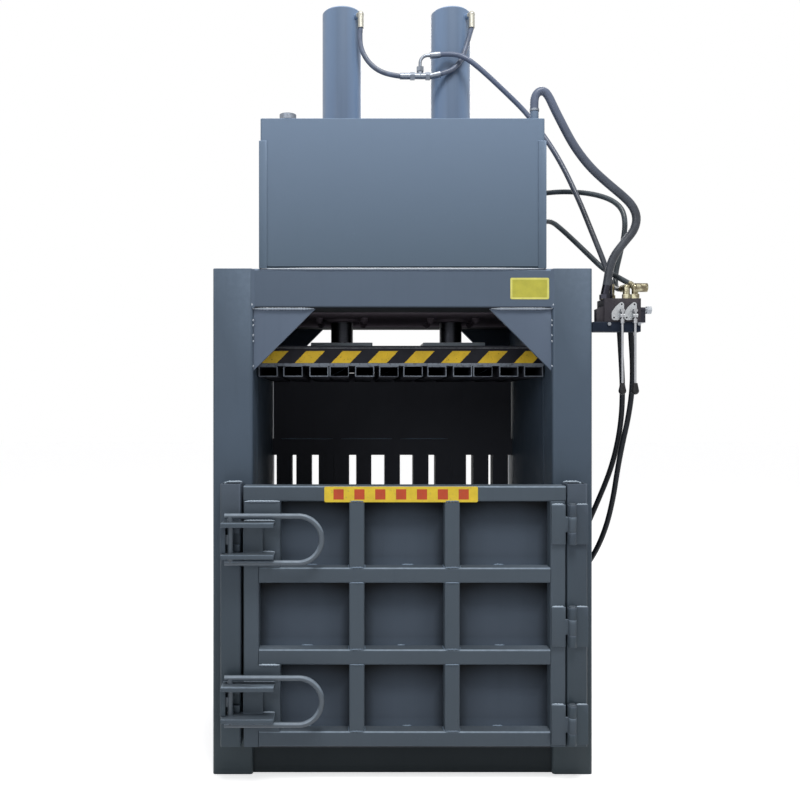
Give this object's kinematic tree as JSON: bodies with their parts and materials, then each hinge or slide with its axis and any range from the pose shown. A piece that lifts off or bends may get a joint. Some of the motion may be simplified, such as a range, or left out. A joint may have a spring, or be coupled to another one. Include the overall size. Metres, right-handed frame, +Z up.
{
  "type": "recycling baler",
  "caption": "Upright hydraulic baler with a slotted chamber, a ram on two cylinders, a latched front door, a roof oil tank and a two-lever hand valve.",
  "frame": {"origin": "on the floor, midway between the posts and midway in the depth of the frame", "axes": "+X to the right seen from the front, +Y to the rear, +Z up; the door and the feed opening face -Y"},
  "size_m": [1.771, 1.681, 3.265],
  "materials": {
    "blue_grey_paint": "satin, worn",
    "dark_paint": "matt, worn",
    "black_paint": "satin",
    "motor_paint": "satin",
    "chrome": "polished",
    "brushed_steel": "turned",
    "zinc": "zinc plated",
    "cast_iron": "painted casting",
    "aluminium": "as cast",
    "black_plastic": "matt",
    "hose_rubber": "matt"
  },
  "bodies": {
    "frame": {"base_frame": "blue_grey_paint", "breather_cap": "zinc", "corner_gussets": "blue_grey_paint", "cylinder_barrels": "blue_grey_paint", "cylinder_bolts": "brushed_steel", "cylinder_deck": "blue_grey_paint", "door_jambs": "blue_grey_paint", "ejector_barrel": "blue_grey_paint", "fan_cover": "motor_paint", "floor_plate": "dark_paint", "front_posts": "blue_grey_paint", "head_beams": "blue_grey_paint", "hinge_leaves_frame": "blue_grey_paint", "hinge_pins": "brushed_steel", "hose_cap_feed": "hose_rubber", "hose_cap_left": "hose_rubber", "hose_cap_right": "hose_rubber", "hose_eject_back": "hose_rubber", "hose_eject_out": "hose_rubber", "hose_fittings": "zinc", "hose_pressure": "hose_rubber", "hose_return": "hose_rubber", "hose_rod_side": "hose_rubber", "latch_keepers": "blue_grey_paint", "lever_brackets": "aluminium", "motor_housing": "motor_paint", "oil_pipes": "zinc", "oil_tank": "blue_grey_paint", "pump": "motor_paint", "rear_posts": "blue_grey_paint", "rear_wall": "dark_paint", "return_stub": "black_paint", "rod_glands": "brushed_steel", "side_walls": "blue_grey_paint", "tank_corner_angles": "blue_grey_paint", "tie_beams": "blue_grey_paint", "valve_arm": "blue_grey_paint", "valve_body": "cast_iron", "valve_fittings": "zinc"},
    "ram": {"platen_box": "dark_paint", "platen_front_plate": "black_paint", "platen_channels": "dark_paint", "rod_flanges": "blue_grey_paint", "piston_rods": "chrome"},
    "door": {"door_uprights": "blue_grey_paint", "door_rails": "blue_grey_paint", "door_panel": "blue_grey_paint", "door_liner": "dark_paint", "hinge_leaves_door": "blue_grey_paint", "latch_brackets": "blue_grey_paint"},
    "latch_lower": {"latch_handle_lower": "blue_grey_paint"},
    "latch_upper": {"latch_handle_upper": "blue_grey_paint"},
    "valve_lever_1": {"lever_1": "brushed_steel", "knob_1": "black_plastic"},
    "valve_lever_2": {"lever_2": "brushed_steel", "knob_2": "black_plastic"},
    "valve_spool_1": {"spool_1": "brushed_steel"},
    "valve_spool_2": {"spool_2": "brushed_steel"},
    "rotor": {"motor_rotor": "brushed_steel"},
    "ejector": {"ejector_ram": "brushed_steel"}
  },
  "joints": [
    {"name": "ram_slide", "type": "slide", "parent": "frame", "child": "ram", "axis": [0, 0, -1], "range_m": [0, 1]},
    {"name": "door_hinge", "type": "hinge", "parent": "frame", "child": "door", "pos_m": [0.654, -0.566, 0.614], "axis": [0, 0, 1], "range_deg": [0, 150]},
    {"name": "latch_lower_turn", "type": "hinge", "parent": "door", "child": "latch_lower", "pos_m": [-0.6735, -0.582, 0.332], "axis": [0, 0, 1], "range_deg": [-180, 0]},
    {"name": "latch_upper_turn", "type": "hinge", "parent": "door", "child": "latch_upper", "pos_m": [-0.6735, -0.582, 0.958], "axis": [0, 0, 1], "range_deg": [-180, 0]},
    {"name": "lever_1_tilt", "type": "hinge", "parent": "frame", "child": "valve_lever_1", "pos_m": [0.8715, -0.494, 1.834], "axis": [1, 0, 0], "range_deg": [-12, 12]},
    {"name": "spool_1_slide", "type": "slide", "parent": "frame", "child": "valve_spool_1", "axis": [0, -1, 0], "range_m": [-0.0042, 0.0042]},
    {"name": "lever_2_tilt", "type": "hinge", "parent": "frame", "child": "valve_lever_2", "pos_m": [0.9225, -0.494, 1.834], "axis": [1, 0, 0], "range_deg": [-12, 12]},
    {"name": "spool_2_slide", "type": "slide", "parent": "frame", "child": "valve_spool_2", "axis": [0, -1, 0], "range_m": [-0.0042, 0.0042]},
    {"name": "motor_turn", "type": "hinge", "parent": "frame", "child": "rotor", "pos_m": [-0.04, 0.33, 2.173], "axis": [1, 0, 0], "range_deg": [-180, 180]},
    {"name": "ejector_slide", "type": "slide", "parent": "frame", "child": "ejector", "axis": [0, -1, 0], "range_m": [0, 0.5]}
  ],
  "couplings": [
    {"joint": "spool_1_slide", "follows": "lever_1_tilt", "m_per_rad": 0.02},
    {"joint": "spool_2_slide", "follows": "lever_2_tilt", "m_per_rad": 0.02}
  ]
}
